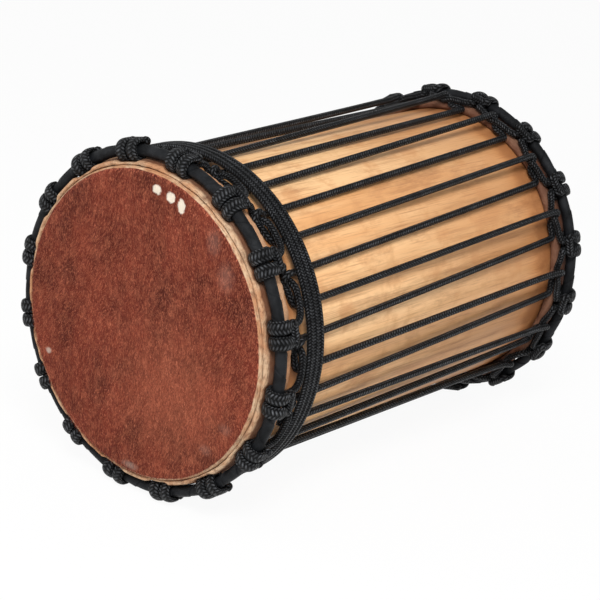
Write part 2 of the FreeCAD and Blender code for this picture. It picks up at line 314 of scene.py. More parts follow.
class Finish:
    """A material in the making: its node tree and short ways to add to it."""

    def __init__(self, name: str) -> None:
        """Starts a material with only a surface shader.

        Args:
            name: The material's name.
        """
        self.material = bpy.data.materials.new(name)
        self.material.use_nodes = True
        self.tree = self.material.node_tree
        self.shader = self.tree.nodes["Principled BSDF"]

    def node(self, kind: str, *values: object, **settings: object) -> bpy.types.Node:
        """Adds a node, sets its own properties and feeds its first sockets.

        Args:
            kind: The node's type.
            values: What the sockets take, from the first one on.
            settings: The node's own properties, by name.

        Returns:
            The node.
        """
        added = self.tree.nodes.new(kind)
        for key, value in settings.items():
            setattr(added, key, value)
        for socket, value in zip(added.inputs, values):
            self.feed(socket, value)
        return added

    def feed(self, socket: Socket, value: object) -> None:
        """Links a socket to an output, or sets it to a plain value.

        Args:
            socket: The socket that takes it.
            value: The output, or the number, colour or vector.
        """
        if isinstance(value, Socket):
            self.tree.links.new(value, socket)
        elif isinstance(value, tuple) and len(value) == 3 and len(socket.default_value) == 4:
            socket.default_value = (*value, 1.0)
        else:
            socket.default_value = value

    def math(self, operation: str, *values: object) -> Socket:
        """The outcome of one arithmetic step."""
        return self.node("ShaderNodeMath", *values, operation=operation).outputs[0]

    def times(self, first: object, second: object) -> Socket:
        """One value times another."""
        return self.math("MULTIPLY", first, second)

    def vector_math(self, operation: str, *values: object) -> Socket:
        """The outcome of one step on vectors."""
        added = self.node("ShaderNodeVectorMath", *values, operation=operation)
        return added.outputs["Value" if operation in ("LENGTH", "DISTANCE") else "Vector"]

    def blend(self, factor: object, first: object, second: object) -> Socket:
        """A colour between two others.

        Args:
            factor: The second colour's share.
            first: The one colour.
            second: The other colour.

        Returns:
            The colour between them.
        """
        added = self.node("ShaderNodeMix", factor, data_type="RGBA")
        for socket, colour in zip(added.inputs[6:8], (first, second)):
            self.feed(socket, colour)
        return added.outputs[2]

    def span(
        self, value: object, low: float, high: float, to_low: float = 0.0, to_high: float = 1.0
    ) -> Socket:
        """A value carried smoothly from one range to another, and held inside it."""
        values = (value, low, high, to_low, to_high)
        return self.node("ShaderNodeMapRange", *values, interpolation_type="SMOOTHSTEP").outputs[0]

    def layered(self, colour: object, *layers: tuple) -> Socket:
        """A colour with tints laid over it, one after the other.

        Args:
            colour: The colour below.
            layers: Each a tint, the value that brings it on, where on that value its
                change starts and ends, and the tint's share before and after.

        Returns:
            The colour on top.
        """
        for tint, *change in layers:
            colour = self.blend(self.span(*change), colour, tint)
        return colour

    def parts(self, place: Socket) -> bpy.types.NodeOutputs:
        """The three numbers of a place."""
        return self.node("ShaderNodeSeparateXYZ", place).outputs

    def noise(self, place: object, scale: float | RGB, detail: float = 3.0, rough: float = 0.5) -> Socket:
        """Soft noise from 0 to 1 at a place.

        Args:
            place: The place.
            scale: How fine the noise is, as one number or one for each axis.
            detail: The number of finer layers in it.
            rough: How strong each finer layer is against the one before.

        Returns:
            The noise.
        """
        if isinstance(scale, tuple):
            place, scale = self.vector_math("MULTIPLY", place, scale), 1.0
        added = self.node("ShaderNodeTexNoise")
        for name, value in (("Vector", place), ("Scale", scale), ("Detail", detail), ("Roughness", rough)):
            self.feed(added.inputs[name], value)
        return added.outputs["Fac"]

    def object_place(self) -> Socket:
        """The place on the piece, in metres in the frame."""
        return self.node("ShaderNodeTexCoord").outputs["Object"]

    def bump(self, height: object, distance: float) -> Socket:
        """A surface normal tilted by a height.

        Args:
            height: The height, from 0 to 1.
            distance: How far up a height of 1 is.

        Returns:
            The tilted normal.
        """
        added = self.node("ShaderNodeBump")
        for name, value in (("Strength", 1.0), ("Distance", distance), ("Height", height)):
            self.feed(added.inputs[name], value)
        return added.outputs["Normal"]

    def surface(self, colour: object, rough: object, normal: object, **uniform: object) -> Material:
        """Joins colour, roughness and normal to the shader.

        Args:
            colour: The base colour.
            rough: The roughness.
            normal: The tilted normal.
            uniform: Plain values of other sockets, by name with spaces as underscores.

        Returns:
            The finished material.
        """
        self.feed(self.shader.inputs["Base Color"], colour)
        self.feed(self.shader.inputs["Roughness"], rough)
        self.feed(self.shader.inputs["Normal"], normal)
        for name, value in uniform.items():
            self.feed(self.shader.inputs[name.replace("_", " ")], value)
        return self.material


@dataclass(frozen=True)
class BraidFinish:
    """Black braided rope: each strand passes over two others and under two, so the skin has chevrons; its
    crests carry a painted highlight and its valleys painted shade.
    """

    # shade is the painted shade in the valleys between strands, light the painted highlight on their crests.
    shade: RGB = (0.0009, 0.0010, 0.0012)
    light: RGB = (0.172, 0.180, 0.195)
    strands: int = 6
    lay: float = 1.22
    fibres: int = 4
    passes: int = 2
    sharpness: float = 2.8

    def build(self) -> Material:
        """Makes the material, on the map that runs round and along a rope.

        Returns:
            The material.
        """
        finish = Finish("black_braid")
        parts = finish.parts(finish.node("ShaderNodeUVMap", uv_map="lay").outputs[0])
        round_it = finish.times(parts[0], float(self.strands))
        along = finish.times(parts[1], self.strands * self.lay)
        rising = finish.math("ADD", round_it, along)
        falling = finish.math("SUBTRACT", round_it, along)
        ridges = []
        lines = []
        passes = float(self.passes)
        for across, over, behind in ((rising, falling, 0.0), (falling, rising, passes)):
            passed = finish.math("ADD", finish.math("ADD", finish.math("FLOOR", across), over), behind)
            passed = finish.math("FLOORED_MODULO", passed, 2 * passes)
            on_top = finish.math("LESS_THAN", passed, passes)
            hump = finish.math("SINE", finish.times(finish.math("FRACT", across), math.pi))
            ends = finish.math("SINE", finish.times(passed, math.pi / passes))
            ends = finish.math("POWER", finish.math("MAXIMUM", ends, 0.0), 0.5)
            ridges.append(finish.times(finish.times(hump, ends), on_top))
            line = finish.math("SINE", finish.times(across, 2 * math.pi * self.fibres))
            lines.append(finish.times(line, on_top))
        height = finish.math("ADD", *ridges)
        fibre = finish.math("MULTIPLY_ADD", finish.math("ADD", *lines), 0.10, height)
        place = finish.object_place()
        # Painted highlight and shade: the crests are lit in the colour itself, broken up by a fine speckle
        # and broad patches, and the valleys keep the painted shade.
        highlight_speckle = finish.noise(place, 260.0, 2.0)
        crest = finish.math("POWER", finish.math("MAXIMUM", height, 0.0), self.sharpness)
        mottle = finish.noise(place, 45.0, 3.0)
        lit = finish.times(crest, finish.span(highlight_speckle, 0.25, 0.75, 0.25, 1.0))
        lit = finish.times(lit, finish.span(mottle, 0.3, 0.7, 0.55, 1.0))
        colour = finish.blend(lit, self.shade, self.light)
        return finish.surface(colour, 0.40, finish.bump(fibre, 0.0024), Specular_IOR_Level=0.14)


@dataclass(frozen=True)
class SleeveFinish:
    """The dark cotton strip that is wound tight round a crown ring."""

    shade: RGB = (0.0034, 0.0038, 0.0046)
    light: RGB = (0.0140, 0.0152, 0.0175)
    threads: float = 1400.0

    def build(self) -> Material:
        """Makes the material, with a fine weave along the strip.

        Returns:
            The material.
        """
        finish = Finish("dark_strip")
        place = finish.object_place()
        parts = finish.parts(finish.node("ShaderNodeUVMap", uv_map="lay").outputs[0])
        warp = finish.math("SINE", finish.times(parts[0], 2 * math.pi * self.threads))
        weft = finish.math("SINE", finish.times(parts[1], 2 * math.pi * self.threads))
        weave = finish.times(warp, weft)
        mottle = finish.noise(place, 70.0, 4.0, 0.6)
        creases = finish.noise(place, 180.0, 3.0)
        height = finish.math("MULTIPLY_ADD", weave, 0.08, creases)
        colour = finish.blend(finish.span(mottle, 0.3, 0.75), self.shade, self.light)
        rough = finish.span(mottle, 0.2, 0.8, 0.62, 0.45)
        return finish.surface(colour, rough, finish.bump(height, 0.0006), Specular_IOR_Level=0.14)


@dataclass(frozen=True)
class ShellFinish:
    """The log's wood: straight grain along the drum, honey to peach, lightly oiled, with painted shade
    towards each end.
    """

    sizes: DrumSizes
    honey: RGB = (0.93, 0.59, 0.300)
    peach: RGB = (0.78, 0.40, 0.165)
    figure: RGB = (0.62, 0.29, 0.115)
    streak: RGB = (0.36, 0.145, 0.055)
    # edge is the painted shade of the wood near each end, where the cradle cord stands over it next to the
    # hide.
    edge: RGB = (0.56, 0.215, 0.062)

    def build(self) -> Material:
        """Makes the material, its grain along Y.

        Returns:
            The material.
        """
        finish = Finish("shell_wood")
        place = finish.object_place()
        broad = finish.noise(place, (24.0, 2.4, 24.0), 4.0, 0.60)
        grain = finish.noise(place, (105.0, 5.0, 105.0), 6.0, 0.70)
        fine = finish.noise(place, (900.0, 22.0, 900.0), 2.0, 0.6)
        pores = finish.noise(place, (1300.0, 90.0, 1300.0), 1.0)
        flame = finish.noise(place, (34.0, 26.0, 34.0), 6.0, 0.66)
        smudge = finish.noise(place, (30.0, 9.0, 30.0), 6.0, 0.72)
        facets = finish.noise(place, (45.0, 6.0, 45.0), 1.0)
        forward = finish.parts(place)[1]
        along = finish.math("MULTIPLY_ADD", broad, 0.12, forward)
        from_middle = finish.math("MULTIPLY_ADD", broad, 0.05, finish.math("ABSOLUTE", forward))
        half = self.sizes.half_length
        colour = finish.layered(
            finish.blend(finish.span(broad, 0.35, 0.68), self.honey, self.peach),
            # The wood darkens towards the bottom end. Towards each end it takes the edge tint, painted shade
            # where the cradle cord stands over the wood next to the hide, and a darker band just beside the
            # hide's edge.
            (self.figure, along, -0.06, 0.26, 0.0, 0.75),
            (self.edge, from_middle, half - 0.062, half - 0.010, 0.0, 0.9),
            (self.streak, from_middle, half - 0.040, half - 0.020, 0.0, 0.8),
            (self.streak, grain, 0.48, 0.70, 0.0, 0.55),
            (self.streak, fine, 0.50, 0.74, 0.0, 0.50),
            (self.figure, flame, 0.47, 0.66, 0.0, 0.60),
            (self.streak, smudge, 0.52, 0.76, 0.0, 0.62),
        )
        height = finish.math("MULTIPLY_ADD", fine, 0.10, facets)
        height = finish.math("MULTIPLY_ADD", pores, 0.04, height)
        rough = finish.span(grain, 0.3, 0.8, 0.42, 0.60)
        return finish.surface(colour, rough, finish.bump(height, 0.0015), Specular_IOR_Level=0.4)


@dataclass(frozen=True)
class RingFinish:
    """Plain bent rod with a dull, lightly rusted skin."""

    bare: RGB = (0.30, 0.30, 0.31)
    rust: RGB = (0.16, 0.07, 0.035)

    def build(self) -> Material:
        """Makes the material.

        Returns:
            The material.
        """
        finish = Finish("ring_steel")
        place = finish.object_place()
        spots = finish.noise(place, 90.0, 5.0, 0.65)
        mill = finish.noise(place, 500.0, 2.0)
        colour = finish.blend(finish.span(spots, 0.5, 0.7, 0.0, 0.7), self.bare, self.rust)
        rough = finish.span(spots, 0.4, 0.7, 0.32, 0.7)
        return finish.surface(colour, rough, finish.bump(mill, 0.0002), Metallic=0.9)


@dataclass(frozen=True)
class HairSpot:
    """A patch of pale hair on a face: its place, half widths, paleness and soft edge."""

    radius: float
    angle: float
    across: float
    tall: float
    paleness: float = 0.8
    blur: float = 0.4


SPOTS = {
    End.STRIKE: (
        HairSpot(0.1340, 6.3, 0.0050, 0.0045),
        HairSpot(0.1335, 13.9, 0.0051, 0.0050),
        HairSpot(0.1325, 20.2, 0.0043, 0.0063),
        HairSpot(0.1330, -115.8, 0.0036, 0.0028, 0.35, 0.8),
        HairSpot(0.1326, 40.9, 0.0070, 0.0100, 0.05, 1.6),
        HairSpot(0.1260, 55.1, 0.0080, 0.0110, 0.05, 1.6),
        HairSpot(0.1323, 121.3, 0.0060, 0.0044, 0.04, 1.6),
        HairSpot(0.1315, 136.5, 0.0060, 0.0044, 0.04, 1.6),
        HairSpot(0.1410, -178.6, 0.0080, 0.0030, 0.14, 1.6),
    ),
    End.BOTTOM: (HairSpot(0.0900, -60.0, 0.0060, 0.0050),),
}


@dataclass(frozen=True)
class HideFinish:
    """A cowhide: short brown hair on the face, and bare tan skin from the rim on; the face carries a painted
    pool of light, and the skin a band of painted shade and grime under the crown ring.
    """

    sizes: DrumSizes
    end: End
    deep: RGB = (0.074, 0.012, 0.007)
    brown: RGB = (0.198, 0.034, 0.018)
    bright: RGB = (0.52, 0.160, 0.084)
    pale: RGB = (0.95, 0.88, 0.74)
    cream: RGB = (0.60, 0.420, 0.270)
    tan: RGB = (0.47, 0.235, 0.120)
    # The dark brown of the crease lines, and of the band of painted shade and grime under the crown ring.
    crease_and_shade: RGB = (0.110, 0.036, 0.017)
    hair_edge: float = 0.0009
    # The middle of the painted pool of light on the face, as a radius and an angle.
    lit_middle: tuple[float, float] = (0.075, 140.0)
    spots: tuple[HairSpot, ...] = ()
    spot_edge: float = 1.5

    def face_colour(self, finish: Finish, place: Socket, own: Socket) -> Socket:
        """The colour of the hair at a place of the face, with a painted pool of light round lit_middle.

        Args:
            finish: The material in the making.
            place: The place on the piece.
            own: A hair's own tone, from 0 for dark to 1 for light.

        Returns:
            The colour, with the pale patches on it.
        """
        flow = finish.noise(place, (130.0, 1.0, 90.0), 5.0, 0.7)
        cloud = finish.noise(place, (26.0, 1.0, 21.0), 4.0, 0.6)
        # A painted pool of light: the hair turns brighter towards lit_middle.
        radius, angle = self.lit_middle
        middle = self.sizes.point(self.end, angle, 0.0, radius)
        apart = finish.vector_math("DISTANCE", place, tuple(middle))
        colour = finish.layered(
            finish.blend(finish.span(cloud, 0.28, 0.68), self.deep, self.brown),
            (self.bright, flow, 0.45, 0.78, 0.0, 0.5),
            (self.bright, apart, 0.01, 0.10, 0.28, 0.0),
            (self.deep, own, 0.0, 0.60, 0.62, 0.0),
            (self.bright, own, 0.60, 1.0, 0.0, 0.62),
        )
        ragged = finish.noise(place, 260.0, 3.0)
        for spot in self.spots:
            middle = self.sizes.point(self.end, spot.angle, 0.0, spot.radius)
            apart = finish.vector_math("SUBTRACT", place, tuple(middle))
            apart = finish.vector_math("DIVIDE", apart, (spot.across, 1.0, spot.tall))
            reach = finish.math("ADD", ragged, finish.vector_math("LENGTH", apart))
            edge = (self.spot_edge - spot.blur / 2, self.spot_edge + spot.blur / 2)
            colour = finish.layered(colour, (self.pale, reach, *edge, spot.paleness, 0.0))
        return colour

    def skin_colour(self, finish: Finish, place: Socket, depth: Socket) -> Socket:
        """The colour of the bare skin at the rim, the fold and the hem, creased along them, with a band of
        painted shade and grime under the crown ring.

        Args:
            finish: The material in the making.
            place: The place on the piece.
            depth: The place's distance inwards from the face.

        Returns:
            The colour.
        """
        patches = finish.noise(place, 34.0, 4.0, 0.6)
        lines = finish.noise(place, (150.0, 800.0, 150.0), 4.0, 0.6)
        soot = finish.noise(place, 120.0, 4.0, 0.65)
        blotches = finish.noise(place, 70.0, 5.0, 0.7)
        wandering = finish.math("MULTIPLY_ADD", soot, 0.004, depth)
        colour = finish.layered(
            finish.blend(finish.span(patches, 0.38, 0.66), self.cream, self.tan),
            (self.tan, blotches, 0.47, 0.66, 0.0, 0.65),
            (self.crease_and_shade, lines, 0.46, 0.70, 0.0, 0.60),
            (self.crease_and_shade, soot, 0.54, 0.74, 0.0, 0.60),
            (self.tan, wandering, 0.0120, 0.0220, 0.0, 0.60),
        )
        # Painted shade and grime: a dark band from about 7 mm in to about 20 mm in, where the crown ring
        # shades the rim's fuzz.
        dark = finish.span(wandering, 0.0066, 0.0100)
        dark = finish.times(dark, finish.span(wandering, 0.0180, 0.0230, 0.85, 0.0))
        return finish.blend(dark, colour, self.crease_and_shade)

    def build(self) -> Material:
        """Makes the hide's material.

        Returns:
            The material.
        """
        finish = Finish(self.end.word + "_cowhide")
        place = finish.object_place()
        depth = self.depth_socket(finish, place)
        wander = finish.noise(place, 90.0, 4.0, 0.6)
        edge = finish.math("MULTIPLY_ADD", wander, 0.0012, depth)
        haired = finish.span(edge, self.hair_edge + 0.0004, self.hair_edge + 0.0009, 1.0, 0.0)
        haired = finish.times(haired, self.inside_socket(finish, place))
        fleck = finish.noise(place, (800.0, 1.0, 500.0), 2.0, 0.5)
        own = finish.span(fleck, 0.30, 0.70)
        colour = finish.blend(
            haired, self.skin_colour(finish, place, depth), self.face_colour(finish, place, own)
        )
        creases = finish.noise(place, (110.0, 900.0, 110.0), 4.0, 0.6)
        grain = finish.noise(place, 420.0, 4.0, 0.6)
        height = finish.math("MULTIPLY_ADD", grain, 0.4, creases)
        return finish.surface(colour, 0.7, finish.bump(height, 0.0014), Specular_IOR_Level=0.15)

    def inside_socket(self, finish: Finish, place: Socket) -> Socket:
        """Tells the face and its rounded edge from the hem outside it.

        Args:
            finish: The material in the making.
            place: The place on the piece.

        Returns:
            A value of 1 on the face and its edge, and 0 outside.
        """
        middle = self.sizes.point(self.end, 0.0, 0.0, 0.0)
        apart = finish.vector_math("SUBTRACT", place, tuple(middle))
        apart = finish.vector_math("MULTIPLY", apart, (1.0, 0.0, 1.0))
        reach = self.sizes.shell_radius + self.sizes.skin_gap + self.sizes.skin + 0.0004
        return finish.math("LESS_THAN", finish.vector_math("LENGTH", apart), reach)

    def depth_socket(self, finish: Finish, place: Socket) -> Socket:
        """The distance inwards from the head's face, as a node output."""
        inward = -float(self.end.value)
        return finish.math("MULTIPLY_ADD", finish.parts(place)[1], inward, self.sizes.half_length)

    def hair(self) -> Material:
        """Makes the material of the loose hairs, each with its own share of shade.

        Returns:
            The material.
        """
        finish = Finish(self.end.word + "_hair")
        place = finish.object_place()
        own = finish.node("ShaderNodeAttribute", attribute_name="shade").outputs["Fac"]
        colour = self.face_colour(finish, place, own)
        streak = finish.noise(place, 900.0, 1.0)
        return finish.surface(colour, 0.5, finish.bump(streak, 0.0002), Specular_IOR_Level=0.1)


@dataclass
class BraidedRope:
    """A braided rope: a route of control points, and the tube that follows it.

    The braid is drawn out along the rope as slack goes down from 1. The cap gives the
    reach and the width of each ring that rounds an end, in radii.
    """

    sizes: DrumSizes
    name: str
    sides: int = 16
    samples: int = 6
    slack: float = 1.0
    cap: tuple[tuple[float, float], ...] = ((0.63, 0.35), (0.42, 0.78))
    closest: float = 0.0001

    def route(self) -> list[Vector]:
        """The control points of the rope's line, in the frame."""
        raise NotImplementedError

    def line(self) -> list[Vector]:
        """The points of the smooth line that the control points give.

        Returns:
            The points along the rope's middle, from its start to its end.
        """
        curve = bpy.data.curves.new(self.name + "_line", "CURVE")
        curve.dimensions = "3D"
        curve.resolution_u = self.samples
        spline = curve.splines.new("NURBS")
        points = self.route()
        spline.points.add(len(points) - 1)
        for knot, point in zip(spline.points, points):
            knot.co = (*point, 1.0)
        spline.order_u = 3
        spline.use_endpoint_u = True
        holder = bpy.data.objects.new(self.name + "_line", curve)
        bpy.context.scene.collection.objects.link(holder)
        bpy.context.view_layer.update()
        traced = bpy.data.meshes.new_from_object(holder.evaluated_get(bpy.context.evaluated_depsgraph_get()))
        line = [vertex.co.copy() for vertex in traced.vertices]
        bpy.data.objects.remove(holder)
        bpy.data.meshes.remove(traced)
        kept = [line[0]]
        for point in line[1:]:
            if (point - kept[-1]).length > self.closest:
                kept.append(point)
        return kept

    def pressed(self, middle: Vector, offset: Vector) -> Vector:
        """Where a point of the round section goes when the rope is pressed flat there.

        Args:
            middle: The middle of the rope.
            offset: The way from the middle to the point.

        Returns:
            The way from the middle to the point after.
        """
        return offset

    def tube(self, line: list[Vector]) -> Piece:
        """The rope's skin: rings of points that follow the line without twisting.

        Args:
            line: The points of the rope's middle.

        Returns:
            A closed tube with rounded ends, its map running round and along it.
        """
        ways = [(after - before).normalized() for before, after in zip(line, line[1:])]
        tangents = [ways[0]] + [(a + b).normalized() for a, b in zip(ways, ways[1:])] + [ways[-1]]
        side = tangents[0].orthogonal().normalized()
        rings = []
        run = 0.0
        for index, (middle, tangent) in enumerate(zip(line, tangents)):
            if index:
                run += (middle - line[index - 1]).length
            side = (side - tangent * side.dot(tangent)).normalized()
            rings.append((middle, side.copy(), tangent.cross(side), 1.0, run))
        radius = self.sizes.rope_radius
        first, last = (
            [(end[0] + way * radius * reach, *end[1:3], width, end[4]) for reach, width in self.cap]
            for end, way in ((rings[0], -tangents[0]), (rings[-1], tangents[-1]))
        )
        capped = first + rings + last[::-1]
        points = []
        for middle, one, other, width, _ in capped:
            for turn in range(self.sides):
                angle = 2 * math.pi * turn / self.sides
                offset = (one * math.cos(angle) + other * math.sin(angle)) * radius * width
                points.append(middle + self.pressed(middle, offset))
        faces = []
        laid = []
        girth = 2 * math.pi * radius / self.slack
        for row in range(len(capped) - 1):
            low, high = capped[row][4] / girth, capped[row + 1][4] / girth
            for turn in range(self.sides):
                after = (turn + 1) % self.sides
                base = row * self.sides
                faces.append((base + turn, base + after, base + self.sides + after, base + self.sides + turn))
                left, right = turn / self.sides, (turn + 1) / self.sides
                laid += [(left, low), (right, low), (right, high), (left, high)]
        final = (len(capped) - 1) * self.sides
        faces.append(tuple(reversed(range(self.sides))))
        faces.append(tuple(range(final, final + self.sides)))
        laid += [(0.0, 0.0)] * self.sides + [(0.0, run / girth)] * self.sides
        piece = mesh_piece(self.name, points, faces)
        layer = piece.data.uv_layers.new(name="lay")
        layer.data.foreach_set("uv", [number for pair in laid for number in pair])
        return piece

    def build(self, material: Material, replaced: list[str]) -> Piece:
        """Makes the rope and dresses it."""
        return finish_piece(self.tube(self.line()), material, replaced)


@dataclass
class CradleCord(BraidedRope):
    """The cord hitched to a crown ring, with a loop between each two hitches.

    It is pressed flat within the clasp, a distance from the middle of the ring's rod. It
    swells in the bridge, behind bridge_from and above bridge_foot, and is drawn in at the
    bends above bend_foot where the bridge begins.
    """

    end: End = End.STRIKE
    half_width: float = 0.0070
    leg_gap: float = 0.0042
    turn_lift: float = 0.0030
    bridge_offset: float = 0.0120
    bridge_rise: float = 0.0062
    strand_depth: float = 0.0446
    spread: float = 1.88
    squeeze: float = 0.76
    swell: float = 1.25
    pinch: float = 0.26
    clasp: float = 0.0106
    clasp_fade: float = 0.0014
    bridge_from: float = 0.0070
    bridge_foot: float = 0.0025
    bridge_fade: float = 0.0015
    bend_foot: float = 0.0040
    bend_fade: float = 0.0016
    seam_at: int = 5

    def pressed(self, middle: Vector, offset: Vector) -> Vector:
        """Flattens the rope against the crown ring, and loosens it in the bridge.

        Args:
            middle: The middle of the rope.
            offset: The way from the middle to a point of the round section.

        Returns:
            The way from the middle to the point after.
        """
        sizes = self.sizes
        angle, depth, radius = sizes.polar(self.end, middle)
        rise, offset_in = radius - sizes.crown_radius, depth - sizes.crown_depth
        near = unit((self.clasp - math.hypot(rise, offset_in)) / self.clasp_fade)
        along = Vector((math.cos(math.radians(angle)), 0.0, -math.sin(math.radians(angle))))
        lengthwise = along * offset.dot(along)
        crosswise = offset - lengthwise
        behind = offset_in - self.bridge_from
        loose = unit(min(behind / self.bridge_fade, (rise - self.bridge_foot) / self.bridge_fade))
        bend = unit(1 - abs(behind) / self.bend_fade) if rise > self.bend_foot else 0.0
        swell = (1 + (self.swell - 1) * loose) * (1 - self.pinch * bend)
        flattened = lengthwise * (1 + (self.spread - 1) * near) + crosswise * (1 + (self.squeeze - 1) * near)
        return flattened * swell

    def hitch(self, angle: float) -> list[Vector]:
        """One hitch, from the leg that arrives to the leg that leaves.

        A leg comes up over the fold of the hide, passes behind the crown ring and over
        its front, and the bridge joins the two turns across both legs.

        Args:
            angle: The angle of the hitch's middle, in degrees.

        Returns:
            The hitch's control points.
        """
        sizes = self.sizes
        coil = sizes.sleeve_radius + self.turn_lift
        corner = coil / math.cos(math.radians(30))
        leg_rise = sizes.flesh_radius + sizes.fold_reach - sizes.crown_radius
        fold_side = sizes.fold_reach * math.tan(math.radians(30))
        drop = sizes.flesh_depth - sizes.crown_depth
        leg_end = (self.leg_gap + 0.0006, drop + fold_side + 0.0036, leg_rise - 0.0012)
        if self.end is End.BOTTOM:
            leg_end = (self.leg_gap + 0.0010, drop + 0.0030, leg_rise + 0.0012)
        half = [
            (0.0036, self.bridge_offset, self.bridge_rise),
            (0.0092, self.bridge_offset - 0.0002, self.bridge_rise),
            (self.half_width + 0.0004, corner / 2 - 0.0006, coil + 0.0004),
            (self.half_width, -corner / 2, coil),
            (self.half_width, -corner, 0.0),
            (self.half_width, -corner / 2, -coil),
            (self.half_width - 0.0010, corner / 2, -coil),
            (self.leg_gap + 0.0004, drop - fold_side, leg_rise),
            leg_end,
        ]
        whole = [(-shift, offset, rise) for shift, offset, rise in reversed(half)] + half
        depth, radius = sizes.crown_depth, sizes.crown_radius
        return [
            sizes.point(self.end, angle, depth + offset, radius + rise, shift)
            for shift, offset, rise in whole
        ]

    def strand(self, hitch_angle: float) -> Route:
        """The loop after a hitch.

        Args:
            hitch_angle: The angle of the hitch, in degrees.

        Returns:
            The loop's points, each an angle past that hitch, a depth and a radius.
        """
        low, high = self.sizes.low, self.sizes.high
        if self.end is End.STRIKE:
            route = [
                (2.7, -0.0034, low + 0.0045), (4.4, -0.0010, low - 0.0001), (6.4, 0.0010, low + 0.0013),
                (8.8, 0.0026, high), (12.6, 0.0028, high + 0.0004), (17.2, 0.0024, high + 0.0006),
                (19.7, -0.0014, high + 0.0018),
            ]
        else:
            snug = [
                (2.5, -0.0122, high + 0.0050), (5.6, -0.0112, high + 0.0030), (8.8, -0.0096, high),
                (11.6, -0.0078, high + 0.0036), (14.6, -0.0102, high + 0.0038),
                (18.6, -0.0110, high + 0.0038), (20.2, -0.0122, high + 0.0050),
            ]
            slack = [
                (2.5, -0.0020, high + 0.0006), (5.6, -0.0002, low + 0.0032), (8.8, 0.0001, low - 0.0003),
                (11.6, 0.0003, low + 0.0016), (14.6, 0.0003, low + 0.0054), (18.6, -0.0002, high + 0.0010),
                (20.2, -0.0022, high + 0.0018),
            ]
            route = self.sizes.held(hitch_angle, snug, slack)
        return [(angle, self.strand_depth + extra, radius) for angle, extra, radius in route]

    def route(self) -> list[Vector]:
        """The cord's way all round, its two ends butted in the lowest loop.

        Returns:
            The control points of the cord's line.
        """
        sizes = self.sizes
        lowest = sizes.hitch_count // 2 - 1
        first = (lowest + 0.5) * sizes.step
        beside_seam = self.strand(first)[self.seam_at - 1:self.seam_at + 1]
        middle, *seam_place = ((a + b) / 2 for a, b in zip(*beside_seam))
        half_seam = 0.1
        points = [sizes.point(self.end, first + middle + half_seam, *seam_place)]
        for turn in range(sizes.hitch_count + 1):
            before = first + turn * sizes.step
            chosen = self.strand(before)
            if turn == 0:
                chosen = chosen[self.seam_at:]
            if turn == sizes.hitch_count:
                chosen = chosen[:self.seam_at]
            points += [sizes.point(self.end, before + angle, *place) for angle, *place in chosen]
            if turn < sizes.hitch_count:
                points += self.hitch(before + sizes.step)
        points.append(sizes.point(self.end, first + middle - half_seam, *seam_place))
        return points


